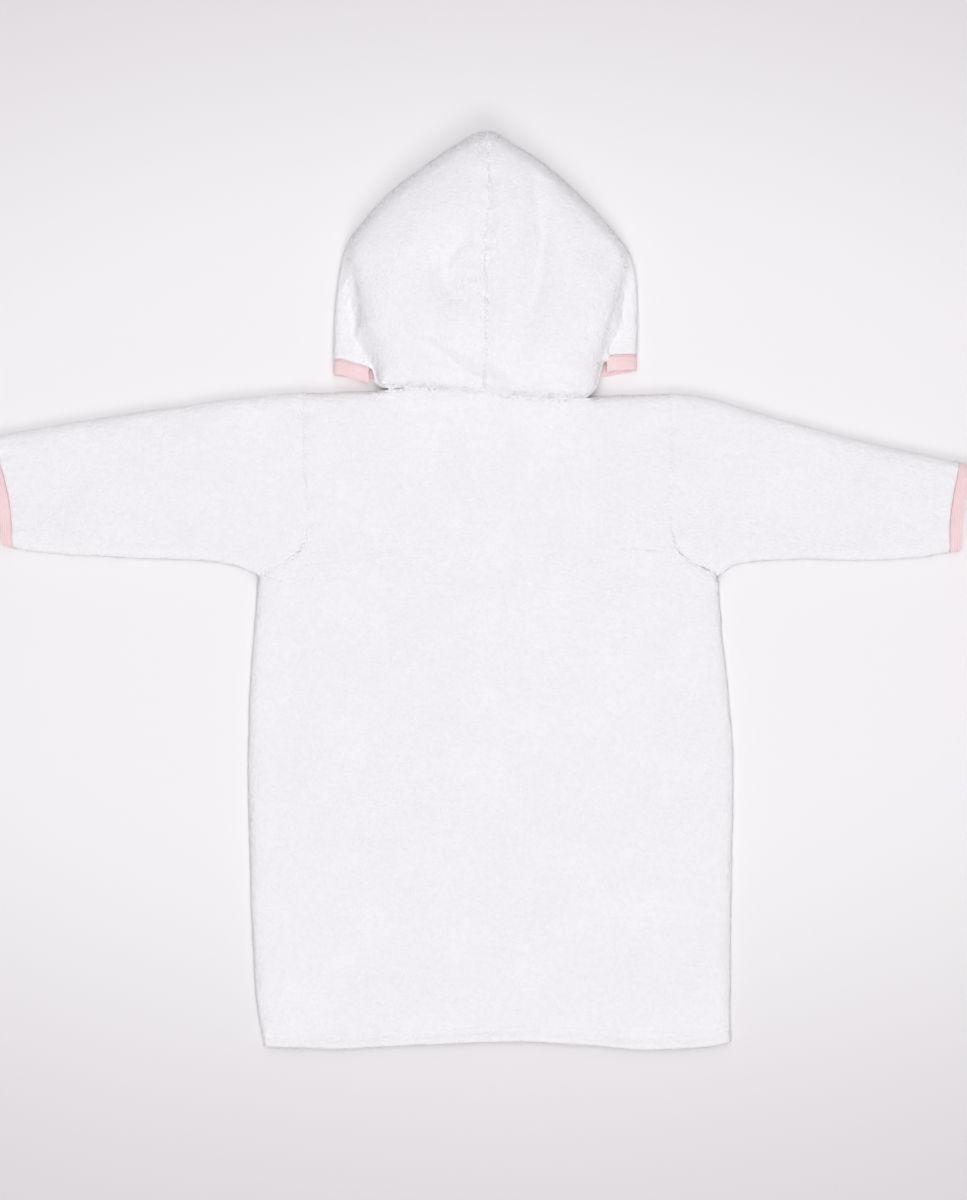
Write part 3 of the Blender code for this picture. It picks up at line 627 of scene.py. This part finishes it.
def along_path(points, path):
    """How far each point is from a path of pixels and, as a share, along it, and its length."""
    best = np.full(len(points), 1e9)
    place = np.zeros(len(points))
    total = 0.0
    corners = [np.array(plan(*pixel)) for pixel in path]
    for a, b in zip(corners, corners[1:]):
        run = b - a
        length = math.hypot(*run)
        t = np.clip(((points[:, :2] - a) @ run) / length**2, 0, 1)
        away = np.linalg.norm(points[:, :2] - (a + t[:, None] * run), axis=1)
        nearer = away < best
        best[nearer] = away[nearer]
        place[nearer] = total + t[nearer] * length
        total += length
    return best, place / total, total


print(f"{len(SEAMS)} seams with puckers, {len(DRAGS)} creases placed by hand")

# %% Creases and pile at one point
PUCKER = 1.6             # noise rarely reaches 1, so a pucker's height is raised by this much
SWELLS = ((0.5 * MM, 26 * MM), (0.3 * MM, 9 * MM))    # height and length of the soft unevenness
CLUMP = 2.9 * MM         # from one clump of loops to the next
CLUMP_HEIGHT = 0.5 * MM


def crease_height(points):
    """How far puckers, drags and troughs raise each point."""
    rise = np.zeros(len(points))
    for row, (path, every, reach, height) in enumerate(SEAMS.values()):
        away, place, length = along_path(points, path)
        every, reach, height = every * MM, reach * MM, height * MM
        for i in np.nonzero(away < 2.5 * reach)[0]:
            spot = Vector((place[i] * length / every, away[i] / (2 * reach), 10 * row))
            rise[i] += height * noise.noise(spot) * math.exp(-((away[i] / reach) ** 2)) * PUCKER
    for path, width, height in DRAGS:
        away, place, _ = along_path(points, path)
        rise += height * MM * np.exp(-((away / (width * MM)) ** 2)) * np.sin(np.pi * place) ** 0.7
    return rise


def pile_height(point):
    """The pile's relief at one point: rounded clumps of loops with narrow valleys."""
    clump = 1 - 1.6 * abs(noise.noise(point / CLUMP))
    loop = noise.noise(point / LOOP + Vector((7, 3, 1)))
    return CLUMP_HEIGHT * (0.6 * (clump - 0.7) + 0.5 * loop)


print(f"pile: a clump every {CLUMP / MM:.1f} mm, {CLUMP_HEIGHT / MM:.1f} mm high")

# %% Move the outer skin
for panel in panels.values():
    mesh = panel.data
    points, normals = as_arrays(mesh)
    normals = np.stack([evened(mesh, normals[:, axis]) for axis in range(3)], axis=1)
    normals /= np.linalg.norm(normals, axis=1)[:, None]
    rise = crease_height(points)
    for i, point in enumerate(points):
        point = Vector(point)
        rise[i] += sum(height * noise.noise(point / length) for height, length in SWELLS)
        rise[i] += pile_height(point)
    moved = points + normals * ((rise - CLUMP_HEIGHT) * kept_number(mesh, "pile"))[:, None]
    moved[:, 2] = np.maximum(moved[:, 2], 0.0)
    mesh.vertices.foreach_set("co", moved.ravel())
    mesh.update()
    print(f"{panel.name}: skin moved by {rise.min() / MM:.1f} to {rise.max() / MM:.1f} mm")

# %% [markdown]
# ## From nodes to a plain mesh
# Loops, stitches and tufts repeat by the thousand, so Geometry Nodes make them. What a tree makes
# is turned into a plain mesh at once, because the exported model holds no instances or live nodes.

# %% Run a node tree
def run_nodes(source, tree, name, **values):
    """What a node tree makes of a mesh or curve, as a new plain mesh object."""
    maker = bpy.data.objects.new(name, source)
    scene.collection.objects.link(maker)
    modifier = maker.modifiers.new("maker", "NODES")
    modifier.node_group = tree
    for socket in tree.interface.items_tree:
        if socket.in_out == "INPUT" and socket.name in values:
            modifier[socket.identifier] = values[socket.name]
    shown = maker.evaluated_get(bpy.context.evaluated_depsgraph_get())
    mesh = bpy.data.meshes.new_from_object(shown)
    bpy.data.objects.remove(maker)
    mesh.name = name
    piece = bpy.data.objects.new(name, mesh)
    scene.collection.objects.link(piece)
    print(f"{piece.name}: {triangles(piece)} triangles")
    return piece


# %% [markdown]
# ## Stray loops
# Some loops stand clear of the pile. They show where the cloth turns away, so that its outline is
# fuzzy, along the neck and the middle of the hood, whose seams they cover, and at the hood's tip,
# where the cloth is gathered. Each is a thin bent yarn with both feet in the cloth. A number called
# fuzz says how many stand where.

# %% Where loops stand clear
HOOD_TIP = np.array(plan(487, 141))
TIP_REACH = 9 * MM       # the gathered cloth round the tip
SEAM_HALF = 2 * MM       # loops this near a seam's path stand up


def fuzz_of(mesh):
    """How thick the stray loops stand, from 0 to 1, at each point of the outer skin."""
    points, normals = as_arrays(mesh)
    fuzz = np.clip((0.7 - normals[:, 2]) / 0.4, 0.0, 1.0)
    for seam in ("neck", "hood_middle"):
        away, _, _ = along_path(points, SEAMS[seam][0])
        fuzz = np.maximum(fuzz, 0.5 * (away < SEAM_HALF))
    from_tip = np.hypot(*(points[:, :2] - HOOD_TIP).T)
    return np.where(from_tip < TIP_REACH, 1.0, fuzz) * (kept_number(mesh, "pile") > 0.5)


# %% Loop nodes
def loop_nodes():
    """Scatters thin yarn loops over a mesh, as thick as its number called fuzz says."""
    tree = bpy.data.node_groups.new("stray_loops", "GeometryNodeTree")
    tree.interface.new_socket("Geometry", in_out="INPUT", socket_type="NodeSocketGeometry")
    sizes = {"Density": 420000.0, "Radius": 0.75 * MM, "Thickness": 0.34 * MM, "Lean": 0.9}
    for name, value in sizes.items():
        socket = tree.interface.new_socket(name, in_out="INPUT", socket_type="NodeSocketFloat")
        socket.default_value = value
    tree.interface.new_socket("Seed", in_out="INPUT", socket_type="NodeSocketInt")
    tree.interface.new_socket("Geometry", in_out="OUTPUT", socket_type="NodeSocketGeometry")
    given = add(tree, "NodeGroupInput").outputs
    fuzz = add(tree, "GeometryNodeInputNamedAttribute", {"Name": "fuzz"}, data_type="FLOAT")
    thick = add(tree, "ShaderNodeMath", {
        0: given["Density"], 1: fuzz.outputs[0]}, operation="MULTIPLY")
    points = add(tree, "GeometryNodeDistributePointsOnFaces", {
        "Mesh": given["Geometry"], "Density": thick.outputs[0], "Seed": given["Seed"]},
        distribute_method="RANDOM")
    arc = add(tree, "GeometryNodeCurveArc", {   # most of a circle, its opening towards the cloth
        "Resolution": 5, "Radius": given["Radius"],
        "Start Angle": math.radians(-35), "Sweep Angle": math.radians(250)})
    half = add(tree, "ShaderNodeMath", {0: given["Thickness"], 1: 0.5}, operation="MULTIPLY")
    ring = add(tree, "GeometryNodeCurvePrimitiveCircle", {
        "Resolution": 3, "Radius": half.outputs[0]})
    yarn = add(tree, "GeometryNodeCurveToMesh", {
        "Curve": arc.outputs["Curve"], "Profile Curve": ring.outputs["Curve"], "Fill Caps": True})
    upright = add(tree, "GeometryNodeTransform", {
        "Geometry": yarn.outputs[0], "Rotation": (math.pi / 2, 0.0, 0.0)})
    smooth = add(tree, "GeometryNodeSetShadeSmooth", {"Geometry": upright.outputs[0]})
    down = add(tree, "ShaderNodeMath", {0: given["Lean"], 1: -1.0}, operation="MULTIPLY")
    least = add(tree, "ShaderNodeCombineXYZ", {
        "X": down.outputs[0], "Y": down.outputs[0], "Z": 0.0})
    most = add(tree, "ShaderNodeCombineXYZ", {
        "X": given["Lean"], "Y": given["Lean"], "Z": 2 * math.pi})
    lean = add(tree, "FunctionNodeRandomValue", {
        0: least.outputs[0], 1: most.outputs[0], "Seed": given["Seed"]}, data_type="FLOAT_VECTOR")
    lean_turn = add(tree, "FunctionNodeEulerToRotation", {0: lean.outputs[0]})
    turn = add(tree, "FunctionNodeRotateRotation", {
        0: points.outputs["Rotation"], 1: lean_turn.outputs[0]}, rotation_space="LOCAL")
    size = add(tree, "FunctionNodeRandomValue", {
        0: (0.7, 0.8, 0.6), 1: (1.3, 1.2, 1.3), "Seed": 7}, data_type="FLOAT_VECTOR")
    placed = add(tree, "GeometryNodeInstanceOnPoints", {
        "Points": points.outputs["Points"], "Instance": smooth.outputs[0],
        "Rotation": turn.outputs[0], "Scale": size.outputs[0]})
    real = add(tree, "GeometryNodeRealizeInstances", {0: placed.outputs[0]})
    position = add(tree, "GeometryNodeInputPosition")
    corner = add(tree, "ShaderNodeSeparateXYZ", {0: position.outputs[0]})
    lifted = add(tree, "ShaderNodeMath", {   # no yarn goes into the floor
        0: corner.outputs["Z"], 1: 0.3 * MM}, operation="MAXIMUM")
    above = add(tree, "ShaderNodeCombineXYZ", {
        "X": corner.outputs["X"], "Y": corner.outputs["Y"], "Z": lifted.outputs[0]})
    clear = add(tree, "GeometryNodeSetPosition", {0: real.outputs[0], "Position": above.outputs[0]})
    done = add(tree, "GeometryNodeSetMaterial", {0: clear.outputs[0], "Material": material_loops_painted_lit})
    add(tree, "NodeGroupOutput", {0: done.outputs[0]})
    return tree


loop_tree = loop_nodes()
loops = {}
for seed, name in enumerate(SHOWN_PANELS, start=1):
    mesh = panels[name].data
    fuzz = fuzz_of(mesh)
    keep_number(mesh, "fuzz", fuzz)
    print(f"{name}: stray loops at {(fuzz > 0).mean():.0%} of its points")
    loops[name] = run_nodes(mesh.copy(), loop_tree, name + "_loops", Seed=seed)

# %% [markdown]
# ## Stitches
# Rows of lockstitch hold the tapes and the hem. A row is drawn on the plan and dropped onto the
# cloth, and Geometry Nodes set a stitch at even steps along it, half sunk into the cloth. The tree
# can also turn each stitch at random and move it aside, which the tufts below need.

# %% Stitch nodes
def stitch_nodes():
    """Sets stitches along a line."""
    tree = bpy.data.node_groups.new("stitch_row", "GeometryNodeTree")
    tree.interface.new_socket("Geometry", in_out="INPUT", socket_type="NodeSocketGeometry")
    sizes = {
        "Step": 2.9 * MM, "Length": 2.2 * MM, "Thickness": 0.55 * MM, "Spread": 0.0, "Turn": 0.0}
    for name, value in sizes.items():
        socket = tree.interface.new_socket(name, in_out="INPUT", socket_type="NodeSocketFloat")
        socket.default_value = value
    tree.interface.new_socket("Thread", in_out="INPUT", socket_type="NodeSocketMaterial")
    tree.interface.new_socket("Geometry", in_out="OUTPUT", socket_type="NodeSocketGeometry")
    given = add(tree, "NodeGroupInput").outputs
    line = add(tree, "GeometryNodeMeshToCurve", {0: given["Geometry"]})
    even = add(tree, "GeometryNodeResampleCurve", {
        "Curve": line.outputs[0], "Length": given["Step"]}, mode="LENGTH")
    ball = add(tree, "GeometryNodeMeshIcoSphere", {"Radius": 0.5, "Subdivisions": 2})
    smooth = add(tree, "GeometryNodeSetShadeSmooth", {"Geometry": ball.outputs["Mesh"]})
    size = add(tree, "ShaderNodeCombineXYZ", {
        "X": given["Length"], "Y": given["Thickness"], "Z": given["Thickness"]})
    way = add(tree, "GeometryNodeInputTangent")
    straight = add(tree, "FunctionNodeAlignRotationToVector", {"Vector": way.outputs[0]}, axis="X")
    least = add(tree, "ShaderNodeMath", {0: given["Turn"], 1: -1.0}, operation="MULTIPLY")
    askew = add(tree, "FunctionNodeRandomValue", {
        2: least.outputs[0], 3: given["Turn"], "Seed": 3}, data_type="FLOAT")
    askew_turn = add(tree, "FunctionNodeAxisAngleToRotation", {
        "Axis": (0.0, 0.0, 1.0), "Angle": askew.outputs[1]})
    turn = add(tree, "FunctionNodeRotateRotation", {
        0: straight.outputs[0], 1: askew_turn.outputs[0]}, rotation_space="GLOBAL")
    aside = add(tree, "FunctionNodeRandomValue", {
        0: (-1.0, -1.0, -0.3), 1: (1.0, 1.0, 0.3), "Seed": 4}, data_type="FLOAT_VECTOR")
    offset = add(tree, "ShaderNodeVectorMath", {
        0: aside.outputs[0], "Scale": given["Spread"]}, operation="SCALE")
    spread = add(tree, "GeometryNodeSetPosition", {0: even.outputs[0], "Offset": offset.outputs[0]})
    placed = add(tree, "GeometryNodeInstanceOnPoints", {
        "Points": spread.outputs[0], "Instance": smooth.outputs[0],
        "Rotation": turn.outputs[0], "Scale": size.outputs[0]})
    real = add(tree, "GeometryNodeRealizeInstances", {0: placed.outputs[0]})
    done = add(tree, "GeometryNodeSetMaterial", {0: real.outputs[0], "Material": given["Thread"]})
    add(tree, "NodeGroupOutput", {0: done.outputs[0]})
    return tree


stitch_tree = stitch_nodes()
print("stitch tree:", len(stitch_tree.nodes), "nodes")

# %% Lines on the cloth
cloth = one_tree(every_piece.values())


def cloth_below(x, y):
    """The spot on the cloth below a place on the plan, or None."""
    return cloth.ray_cast(Vector((x, y, ABOVE)), -UP)[0]


def line_mesh(spots, name):
    """A mesh of edges from spot to spot."""
    mesh = bpy.data.meshes.new(name)
    mesh.from_pydata(spots, [(i, i + 1) for i in range(len(spots) - 1)], [])
    return mesh


def dropped(path, name):
    """A line of edges 1 mm long that follows a path of pixels and lies on the cloth."""
    places = [Vector(plan(*pixel)) for pixel in path]
    points = []
    for a, b in zip(places, places[1:]):
        steps = max(1, round((b - a).length / (1.0 * MM)))
        points += [a.lerp(b, i / steps) for i in range(steps)]
    spots = [cloth_below(*point) for point in [*points, places[-1]]]
    return line_mesh([spot for spot in spots if spot], name)


print(f"the top of the hood lies {cloth_below(*plan(484, 262)).z / MM:.0f} mm above the floor")

# %% [markdown]
# ## Tufts over the seams
# Where two terry edges are sewn together, the pile on both sides closes over the thread. Without it
# each seam would be a sharp dark groove. Its line is found from the points that were drawn together
# and lifted nearly to the height of the cloth beside it. The stitch tree then sets short, fat tufts
# of terry along it, each turned and moved aside at random.

# %% Set the tufts
SEAM_PIECES = {   # a seam: the pairs of panels that it joins
    "armhole_left": (("back", "sleeve_left"),),
    "armhole_right": (("back", "sleeve_right"),),
    "hood_middle": (("hood_left", "hood_right"),),
    "neck": (("back", "hood_left"), ("back", "hood_right")),
}
LANE = 2.5 * MM          # one point of the line for each stretch of this length
NEAR = 7 * MM            # points further than this from the seam's path belong to something else
TOP = 2.5 * MM           # only the upper edge of the groove counts
BESIDE = 2 * MM          # where the height of the cloth is taken
SUNK = 0.7 * MM          # how far the line lies below that height
TUFTS = {"Step": 0.9 * MM, "Length": 2.9 * MM, "Thickness": 1.7 * MM, "Spread": 0.6 * MM,
         "Turn": 1.3, "Thread": material_terry}


def seam_line(seam, name):
    """A line along the groove between sewn pieces, a little below the cloth beside it."""
    pairs = [drawn_spots.get(frozenset(pair), []) for pair in SEAM_PIECES[seam]]
    spots = np.array([tuple(spot) for pair in pairs for spot in pair])
    away, place, length = along_path(spots, SEAMS[seam][0])
    lane = np.round(place * length / LANE).astype(int)
    line = []
    for number in range(lane.max() + 1):
        here = spots[(lane == number) & (away < NEAR)]
        if len(here) > 1:
            x, y = here[here[:, 2] > here[:, 2].max() - TOP][:, :2].mean(axis=0)
            hits = [cloth_below(x + dx * BESIDE, y + dy * BESIDE)
                    for dx, dy in ((1, 0), (-1, 0), (0, 1), (0, -1))]
            heights = sorted(hit.z for hit in hits if hit)
            line.append((x, y, heights[-2] - SUNK))
    return line_mesh(line, name)


puffs = {}
for seam in SEAM_PIECES:
    name = "pile_over_" + seam
    puffs[seam] = run_nodes(seam_line(seam, name), stitch_tree, name, **TUFTS)

# %% Set the stitches
ROWS = {   # the piece that it is on, its thread, and its path in the photograph's pixels
    "stitches_hem": ("back", material_white_thread, (
        (262, 1033), (333, 1034), (400, 1031), (533, 1026), (600, 1030), (707, 1033), (727, 1026))),
    "stitches_cuff_left": ("cuff_binding_left", material_pink_thread, (
        (-8, 442), (-3, 458), (4, 478), (9, 512), (12, 541))),
    "stitches_cuff_right": ("cuff_binding_right", material_pink_thread, (
        (960, 465), (956, 480), (953, 500), (951, 530), (950.5, 549))),
    "stitches_hood_left": ("hood_binding", material_pink_thread, (
        (338, 367.5), (352, 371.5), (366, 375.5))),
    "stitches_hood_right": ("hood_binding", material_pink_thread, (
        (608, 361.5), (619, 361.5), (631, 361))),
}
stitches = {name: run_nodes(dropped(path, name), stitch_tree, name, Thread=thread)
            for name, (_, thread, path) in ROWS.items()}

# %% [markdown]
# ## Bodies, and what lies on each piece
# Everything is one body, because cloth has no joints. Each panel and tape is a sheet. Loops, tufts
# and stitches are gathered with the piece that they sit on.

# %% Give every piece its body, and hide the CAD node that it stands for
for name, piece in every_piece.items():
    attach(piece, "root")
    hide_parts(name)
for piece in (*loops.values(), *puffs.values()):
    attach(piece, "root")
for name, piece in stitches.items():
    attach(piece, "root")
print(f"{len(every_piece)} pieces stand for CAD nodes, {len(loops) + len(puffs)} sets of loops and"
      f" tufts and {len(stitches)} rows of stitches lie on them")

# %% What lies on each sheet
HAS_SEAM = {   # the panel that each seam's tufts are counted with
    "back": "neck", "sleeve_left": "armhole_left", "sleeve_right": "armhole_right",
    "hood_left": "hood_middle"}
for name, piece in every_piece.items():
    on_it = [stitches[row] for row, (on, *_) in ROWS.items() if on == name]
    on_it += [loops[name]] if name in loops else []
    on_it += [puffs[HAS_SEAM[name]]] if name in HAS_SEAM else []
